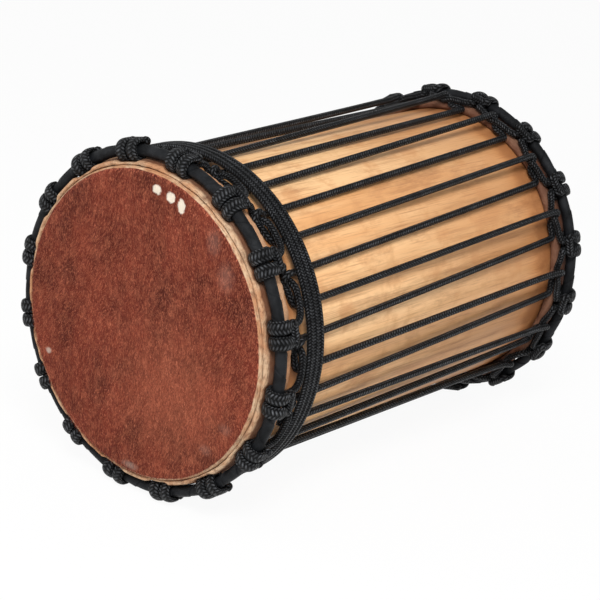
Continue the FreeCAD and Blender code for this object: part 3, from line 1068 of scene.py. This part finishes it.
@dataclass
class Lacing(BraidedRope):
    """The long rope that joins the loops of the two cradle cords."""

    slack: float = 0.78
    strand_depth: float = 0.0446
    over: dict[End, float] = field(default_factory=lambda: {End.STRIKE: 4.65, End.BOTTOM: 9.25})
    under: dict[End, float] = field(default_factory=lambda: {End.STRIKE: 15.85, End.BOTTOM: 19.25})
    first_hitch: int = 13
    turns_depth: float = 0.0543
    turns_pitch: float = 0.0070
    turns_quarters: int = 11
    turns_lead_in: float = 10.0

    @property
    def settled(self) -> float:
        """The radius of the strands that run under the surplus turns."""
        return self.sizes.low + 0.0008

    @property
    def start_angle(self) -> float:
        """Where the lacing starts and ends, over the loop after the first hitch."""
        return (self.first_hitch + 0.5) * self.sizes.step + self.over[End.STRIKE]

    def bight(self, end: End, hitch: int) -> list[Vector]:
        """The way through the loop after one hitch, over its strand and back under it.

        Args:
            end: The end that the loop is at.
            hitch: The hitch's number, counted from the top.

        Returns:
            The control points of the way.
        """
        low, high, strand = self.sizes.low, self.sizes.high, self.strand_depth
        angle = (hitch + 0.5) * self.sizes.step
        over, under = angle + self.over[end], angle + self.under[end]
        if end is End.STRIKE:
            route = [
                (over, strand + 0.0160, self.settled),
                (over, strand + 0.0066, self.settled),
                (over, strand + 0.0004, high + 0.0009),
                (over + 0.3, strand - 0.0036, high + 0.0009),
                (over + 1.4, strand - 0.0072, low + 0.0054),
                (over + 2.6, strand - 0.0046, low + 0.0004),
                (over + 4.8, strand - 0.0004, low),
                (under - 2.2, strand + 0.0010, low),
                (under - 0.2, strand + 0.0050, low),
                (under, strand + 0.0120, low),
            ]
        else:
            snug = [
                (over, strand + 0.0120, high + 0.0050),
                (over, strand - 0.0046, high + 0.0074),
                (over + 0.2, strand - 0.0106, high + 0.0078),
                (over + 1.3, strand - 0.0128, high + 0.0040),
                (over + 2.7, strand - 0.0100, high - 0.0022),
                (over + 4.6, strand - 0.0086, high - 0.0040),
                (under - 3.0, strand - 0.0092, high - 0.0034),
                (under - 0.6, strand - 0.0084, high - 0.0034),
                (under, strand - 0.0010, high - 0.0030),
            ]
            slack = [
                (over, strand + 0.0130, low + 0.0012),
                (over, strand + 0.0025, high + 0.0001),
                (over + 0.2, strand - 0.0030, high + 0.0011),
                (over + 1.5, strand - 0.0072, low + 0.0062),
                (over + 2.9, strand - 0.0074, low + 0.0045),
                (over + 4.6, strand - 0.0070, low + 0.0024),
                (under - 3.0, strand - 0.0058, low + 0.0010),
                (under - 0.4, strand - 0.0010, low + 0.0001),
                (under, strand + 0.0070, low),
            ]
            route = self.sizes.held(angle, snug, slack)
        return [self.sizes.point(end, *place) for place in route]

    def turn_point(self, quarters: float, spread: float = 1.0) -> Vector:
        """A point of the surplus turns after so many quarter turns.

        Args:
            quarters: The quarter turns since the winding's start.
            spread: A factor on the radius, for a control point outside the line.

        Returns:
            The point in the frame.
        """
        angle = self.start_angle + self.turns_lead_in + 90.0 * quarters
        depth = self.turns_depth + self.turns_pitch * (self.turns_quarters - quarters) / 4
        radius = (self.settled + self.sizes.crossing) * spread
        return self.sizes.point(End.STRIKE, angle, depth, radius)

    def route(self) -> list[Vector]:
        """The way from the end under the surplus turns to the start of those turns.

        Returns:
            The control points of the rope's line.
        """
        sizes, turns = self.sizes, self.turns_depth
        points = [sizes.point(End.STRIKE, self.start_angle, turns + 0.016, self.settled)]
        for step in range(sizes.hitch_count):
            points += self.bight(End.STRIKE, self.first_hitch + step)
            points += self.bight(End.BOTTOM, self.first_hitch + step)
        lead = self.turn_point(0.0)
        way = (self.turn_point(0.01) - lead).normalized()
        points += [
            sizes.point(End.STRIKE, self.start_angle, turns + 0.042, self.settled - 0.0001),
            sizes.point(End.STRIKE, self.start_angle + 0.7, turns + 0.031, self.settled + 0.0023),
            sizes.point(End.STRIKE, self.start_angle + 3.0, turns + 0.0235, self.settled + 0.0060),
            lead - way * 0.009,
            lead,
        ]
        return points


@dataclass
class SurplusTurns(Lacing):
    """The end of the lacing, wound round the drum over its strands."""

    slack: float = 1.0
    points_per_quarter: int = 9

    def route(self) -> list[Vector]:
        """The winding's way, with its end tucked down behind a strand.

        Returns:
            The control points of the rope's line.
        """
        sizes = self.sizes
        count = self.turns_quarters * self.points_per_quarter
        step = math.radians(90.0 / self.points_per_quarter)
        spread = 1 / math.cos(step / 2)
        points = [self.turn_point(0.0)]
        points += [self.turn_point((index + 0.5) / self.points_per_quarter, spread) for index in range(count)]
        angle = self.start_angle + self.turns_lead_in + 90.0 * self.turns_quarters
        points += [
            self.turn_point(self.turns_quarters + 0.02),
            sizes.point(End.STRIKE, angle + 5.0, self.turns_depth + 0.0004, sizes.low + 0.0075),
            sizes.point(End.STRIKE, angle + 7.0, self.turns_depth + 0.0012, sizes.low + 0.0025),
            sizes.point(End.STRIKE, angle + 9.3, self.turns_depth + 0.0024, sizes.low + 0.0002),
        ]
        return points


@dataclass
class RingSleeve:
    """The strip of cloth wound round a crown ring, each lap over the one before."""

    sizes: DrumSizes
    end: End
    laps: int = 44
    steps_per_lap: int = 28
    lift: float = 0.0006
    thickness: float = 0.0004
    ripple: float = 0.00035
    ripple_scale: float = 9.0
    columns: tuple[float, ...] = (0.0, 0.0, 0.06, 0.25, 0.5, 0.75, 1.0, 1.1)

    def build(self, material: Material) -> Piece:
        """Winds the strip and dresses it.

        Args:
            material: The cloth's material.

        Returns:
            The sleeve.
        """
        sizes = self.sizes
        pitch = 360.0 / self.laps
        rows = self.laps * self.steps_per_lap
        points = []
        laid = []
        for row in range(rows + 1):
            wound = row / self.steps_per_lap
            around = 2 * math.pi * wound
            for column, share in enumerate(self.columns):
                angle = pitch * (wound + share)
                fall = 1.0 if column else 0.0
                tube = sizes.sleeve_radius + self.thickness - self.lift * (1.0 - fall * max(0.0, 1.0 - share))
                seed = sizes.point(self.end, angle, 0.0, 1.0) * self.ripple_scale
                seed += Vector((math.cos(around), 0, math.sin(around)))
                tube += self.ripple * noise.noise(seed)
                depth = sizes.crown_depth - tube * math.cos(around)
                radius = sizes.crown_radius + tube * math.sin(around)
                points.append(sizes.point(self.end, angle, depth, radius))
                across = share * math.radians(pitch) * sizes.crown_radius
                laid.append((across, around * sizes.sleeve_radius))
        width = len(self.columns)
        faces = []
        for row in range(rows):
            for column in range(width - 1):
                corner = row * width + column
                faces.append((corner, corner + 1, corner + width + 1, corner + width))
        piece = mesh_piece(self.end.word + "_ring_strip", points, faces)
        layer = piece.data.uv_layers.new(name="lay")
        for loop in piece.data.loops:
            layer.data[loop.index].uv = laid[loop.vertex_index]
        pick(piece)
        bpy.ops.object.mode_set(mode="EDIT")
        bpy.ops.mesh.select_all(action="SELECT")
        bpy.ops.mesh.normals_make_consistent(inside=False)
        bpy.ops.object.mode_set(mode="OBJECT")
        return finish_piece(piece, material, [self.end.word + "_ring_cloth"])


@dataclass
class Hide:
    """A cowhide stretched over one end, folded round its flesh ring, its hem turned up.

    The hem and the fold are held flat within the grip of a hitch, an angle in degrees,
    and are crumpled between the hitches.
    """

    sizes: DrumSizes
    end: End
    steps: int = 480
    round_radius: float = 0.00425
    hem: tuple[tuple[float, float], ...] = (
        (0.1548, 0.0225), (0.1544, 0.0180), (0.1538, 0.0130), (0.1534, 0.0085), (0.1531, 0.0058),
        (0.1525, 0.0038), (0.1516, 0.0029), (0.1507, 0.0034), (0.1502, 0.0052), (0.1501, 0.0090),
    )
    hem_gap: float = 0.0016
    hem_rise: float = 0.0060
    tuck: float = 0.72
    grip: float = 3.4
    grip_fade: float = 2.8
    hem_crumple: float = 0.0005
    hem_ragged: float = 0.0012
    fold_bulge: float = 0.0004
    fold_crumple: float = 0.0009
    face_sag: float = 0.0003

    @property
    def wall(self) -> float:
        """The radius of the middle of the hide's side wall."""
        return self.sizes.shell_radius + self.sizes.skin_gap + self.sizes.skin / 2

    @property
    def fold(self) -> float:
        """The radius of the middle of the hide round its flesh ring."""
        return self.sizes.flesh_rod / 2 + self.sizes.skin_gap + self.sizes.skin / 2

    def fold_point(self, angle: float) -> tuple[float, float]:
        """A point on the fold.

        Args:
            angle: The point's angle about the flesh ring, in degrees.

        Returns:
            The point's radius and depth.
        """
        turn = math.radians(angle)
        sizes = self.sizes
        return sizes.flesh_radius + self.fold * math.cos(turn), sizes.flesh_depth + self.fold * math.sin(turn)

    def profile(self) -> list[tuple[float, float]]:
        """The line that the hide's middle follows from the axis to the hem's edge.

        Returns:
            The line's points, each a radius and a depth.
        """
        top = self.sizes.skin / 2
        flat = self.wall - self.round_radius
        route = [(flat * share, top) for share in (0.0, 0.15, 0.3, 0.45, 0.6, 0.72, 0.82, 0.9, 0.96, 1.0)]
        for angle in (18, 36, 54, 72, 90):
            turn = math.radians(angle)
            outward, inward = self.round_radius * math.sin(turn), self.round_radius * (1 - math.cos(turn))
            route.append((flat + outward, top + inward))
        route += [(self.wall, depth) for depth in (0.009, 0.013, 0.017, 0.021, 0.025)]
        route += [self.fold_point(angle) for angle in range(180, -36, -15)]
        return route + list(self.hem)

    def shaped(self, angle: float, depth: float, radius: float) -> tuple[float, float, float]:
        """A point of the spun hide, moved as the real one is pulled and creased.

        Args:
            angle: The point's angle, in degrees.
            depth: Its depth before.
            radius: Its radius before.

        Returns:
            The angle, depth and radius after.
        """
        sizes = self.sizes
        free = unit((abs(sizes.from_hitch(angle)) - self.grip) / self.grip_fade)
        free = free * free * (3 - 2 * free)
        about = Vector((math.sin(math.radians(angle)), math.cos(math.radians(angle)), 0.0))
        foot = self.wall + self.hem_gap
        if radius > foot and depth < sizes.flesh_depth - self.fold * 0.5 - 0.001:
            risen = min(1.0, (self.hem[0][1] - depth) / self.hem_rise)
            radius = foot + (radius - foot) * (1 - self.tuck * risen * (1 - free))
            crumple = noise.noise(about * 22.0 + Vector((radius * 300.0, 0.0, depth * 90.0)))
            ragged = noise.noise(about * 11.0 + Vector((0.0, 0.0, 5.0 * self.end.value)))
            radius += self.hem_crumple * risen * crumple * (0.3 + 0.7 * free)
            ragged += 0.3 * crumple + 0.8 * (1 - free)
            depth += self.hem_ragged * risen * ragged * min(1.0, self.hem_rise / depth)
        elif radius > self.wall + 0.0005 or depth > sizes.flesh_depth:
            crumple = noise.noise(about * 38.0 + Vector((0, 0, depth * 60.0)))
            bulge = self.fold_bulge + self.fold_crumple * crumple
            away = Vector((radius - sizes.flesh_radius, depth - sizes.flesh_depth)).normalized()
            if away.x > -0.5:
                radius += away.x * bulge * free
                depth += away.y * bulge * free
        elif depth < sizes.skin:
            depth += self.face_sag * (noise.noise(about * radius * 40.0) + 0.3) * min(1.0, radius * 12)
        return angle, depth, radius

    def build(self, material: Material) -> Piece:
        """Spins, shapes and thickens the hide, and dresses it.

        Args:
            material: The hide's material.

        Returns:
            The hide.
        """
        sizes = self.sizes
        profile = [sizes.point(self.end, 0.0, depth, radius) for radius, depth in self.profile()]
        centre = Vector((0.0, 0.0, sizes.axis_height))
        piece = spin_profile(self.end.word + "_hide", profile, centre, self.steps)
        for vertex in piece.data.vertices:
            vertex.co = sizes.point(self.end, *self.shaped(*sizes.polar(self.end, vertex.co)))
        wall = piece.modifiers.new("thickness", "SOLIDIFY")
        wall.thickness = sizes.skin
        wall.offset = 0.0
        apply_modifiers(piece)
        return finish_piece(piece, material, [self.end.word + "_head"])


@dataclass
class Hair:
    """The short hair of a hide's face: narrow blades that lie almost flat."""

    sizes: DrumSizes
    end: End
    count: int = 80000
    length: float = 0.0040
    width: float = 0.00036
    bare_rim: float = 0.0030
    edge_round: float = 0.005
    clump_scale: float = 520.0
    lift: tuple[float, float] = (0.06, 0.32)
    stray: float = 0.25
    outward_at_rim: float = 0.4
    seed: int = 7

    def build(self, material: Material) -> Piece:
        """Plants the hairs and dresses them.

        Args:
            material: The hairs' material.

        Returns:
            All the hairs of the face as one piece.
        """
        sizes = self.sizes
        chance = random.Random(self.seed + self.end.value)
        reach = sizes.shell_radius + sizes.skin_gap + sizes.skin
        haired = reach - self.bare_rim
        points = []
        faces = []
        shades = []
        outward = Vector((0.0, float(self.end.value), 0.0))
        for _ in range(self.count):
            radius = haired * math.sqrt(chance.random())
            angle = chance.uniform(0.0, 360.0)
            lift = chance.uniform(*self.lift)
            root = sizes.point(self.end, angle, 0.0, radius)
            radial = (root - sizes.point(self.end, angle, 0.0, 0.0)).normalized()
            rim = max(0.0, radius - reach + self.edge_round)
            root -= outward * (rim * rim / (2 * self.edge_round))
            clump = noise.noise(root * self.clump_scale)
            swirl = 0.9 * noise.noise(root * 9.0) + 0.5 * noise.noise(root * 90.0)
            flow = Vector((math.sin(swirl), 0.0, -math.cos(swirl)))
            flow = (flow + radial * chance.uniform(-self.stray, self.stray)).normalized()
            if rim:
                flow = (flow + radial * self.outward_at_rim).normalized()
            run = self.length * chance.uniform(0.6, 1.2)
            tip = root + (flow + outward * lift).normalized() * run
            across = flow.cross(outward).normalized() * self.width / 2
            first = len(points)
            points += [root - across, root + across, tip]
            faces.append((first, first + 1, first + 2))
            shades += [unit(0.55 + 0.55 * clump + chance.uniform(-0.35, 0.35))] * 3
        piece = mesh_piece(self.end.word + "_face_hair", points, faces)
        own = piece.data.attributes.new("shade", "FLOAT", "POINT")
        own.data.foreach_set("value", shades)
        return finish_piece(piece, material, [])


@dataclass
class Studio:
    """The floor, the lights and the camera."""

    sizes: DrumSizes
    azimuth: float = 40.06
    elevation: float = 14.45
    roll_about_axis: float = -5.25
    distance: float = 1.7064
    aim_right: float = 0.14882
    aim_up: float = 0.02354
    lens: float = 110.75
    sensor: float = 36.0
    floor_size: float = 30.0
    floor_glow: float = 0.94
    air: float = 0.45

    def place_camera(self) -> None:
        """Sets the camera where the photograph was taken from."""
        across, rise = math.radians(self.azimuth), math.radians(self.elevation)
        back = Vector((math.sin(across) * math.cos(rise), -math.cos(across) * math.cos(rise), math.sin(rise)))
        right = Vector((math.cos(across), math.sin(across), 0.0))
        up = back.cross(right)
        turn = Matrix.Rotation(math.radians(self.roll_about_axis), 3, "Y")
        head = self.sizes.point(End.STRIKE, 0.0, 0.0, 0.0)
        away = back * self.distance + right * self.aim_right + up * self.aim_up
        basis = Matrix((turn @ right, turn @ up, turn @ back)).transposed()
        data = bpy.data.cameras.new("camera")
        data.lens = self.lens
        data.sensor_width = self.sensor
        camera = bpy.data.objects.new("camera", data)
        camera.matrix_world = Matrix.Translation(head + turn @ away) @ basis.to_4x4()
        bpy.context.scene.collection.objects.link(camera)
        bpy.context.scene.camera = camera

    def lay_floor(self) -> None:
        """Lays a pale floor that keeps the drum's shadow."""
        deselect()
        bpy.ops.mesh.primitive_plane_add(size=self.floor_size, location=(0.0, 0.0, 0.0))
        floor = bpy.context.active_object
        floor.name = "floor"
        finish = Finish("pale_floor")
        finish.feed(finish.shader.inputs["Base Color"], (0.86, 0.86, 0.86))
        finish.feed(finish.shader.inputs["Roughness"], 0.9)
        glow = finish.node("ShaderNodeEmission")
        rays = finish.node("ShaderNodeLightPath")
        seen = finish.math("MAXIMUM", rays.outputs["Is Camera Ray"], rays.outputs["Is Glossy Ray"])
        mixing = (finish.times(seen, self.floor_glow), finish.shader.outputs[0], glow.outputs[0])
        mixed = finish.node("ShaderNodeMixShader", *mixing)
        finish.feed(finish.tree.nodes["Material Output"].inputs["Surface"], mixed.outputs[0])
        floor.data.materials.append(finish.material)

    def light(self) -> None:
        """Hangs two soft lamps in pale air, which the camera sees as white."""
        middle = Vector((0.0, 0.0, self.sizes.axis_height))
        lamps = (
            ("key", Vector((1.3, -1.5, 2.0)), 0.9, 66.0),
            ("fill", Vector((-1.9, -1.2, 1.1)), 1.8, 16.0),
        )
        for name, place, size, power in lamps:
            data = bpy.data.lights.new(name, "AREA")
            data.size = size
            data.energy = power
            lamp = bpy.data.objects.new(name, data)
            aim = (place - middle).to_track_quat("Z", "Y").to_matrix().to_4x4()
            lamp.matrix_world = Matrix.Translation(place) @ aim
            bpy.context.scene.collection.objects.link(lamp)
        world = bpy.data.worlds.new("studio")
        world.use_nodes = True
        bpy.context.scene.world = world
        tree = world.node_tree
        rays = tree.nodes.new("ShaderNodeLightPath")
        strength = tree.nodes.new("ShaderNodeMapRange")
        strength.inputs["To Min"].default_value = self.air
        strength.inputs["To Max"].default_value = 1.0
        tree.links.new(rays.outputs["Is Camera Ray"], strength.inputs["Value"])
        tree.links.new(strength.outputs["Result"], tree.nodes["Background"].inputs["Strength"])
        tree.nodes["Background"].inputs["Color"].default_value = (1.0, 1.0, 1.0, 1.0)

    def build(self) -> None:
        """Sets up the whole studio."""
        bpy.context.scene.view_settings.view_transform = "Standard"
        self.place_camera()
        self.lay_floor()
        self.light()


def dress_frame_nodes(sizes: DrumSizes) -> None:
    """Gives the frame's own nodes their materials.

    Args:
        sizes: The drum's sizes.
    """
    wood = ShellFinish(sizes).build()
    steel = RingFinish().build()
    for name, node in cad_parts.items():
        material = wood if name == "shell" else steel
        if not node.hide_render:
            node.data.materials.clear()
            node.data.materials.append(material)


def main() -> None:
    """Builds the studio and the drum's pieces in order."""
    logging.basicConfig(level=logging.INFO, format="%(name)s: %(message)s")
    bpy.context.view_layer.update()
    sizes = DrumSizes.from_frame()
    Studio(sizes).build()
    braid = BraidFinish().build()
    for end in End:
        CradleCord(sizes, end.word + "_cradle_braid", end=end).build(braid, [end.word + "_cradle_cord"])
    Lacing(sizes, "lacing_braid").build(braid, ["lacing_rope"])
    SurplusTurns(sizes, "surplus_braid").build(braid, ["surplus_turns"])
    strip = SleeveFinish().build()
    for end in End:
        RingSleeve(sizes, end).build(strip)
        finish = HideFinish(sizes, end, spots=SPOTS[end])
        # The bottom hide's skin gets darker cream and tan: painted shade at the far end.
        if end is End.BOTTOM:
            finish = replace(finish, cream=(0.34, 0.185, 0.115), tan=(0.135, 0.060, 0.036))
        Hide(sizes, end).build(finish.build())
        Hair(sizes, end).build(finish.hair())
    dress_frame_nodes(sizes)


if __name__ == "__main__":
    main()
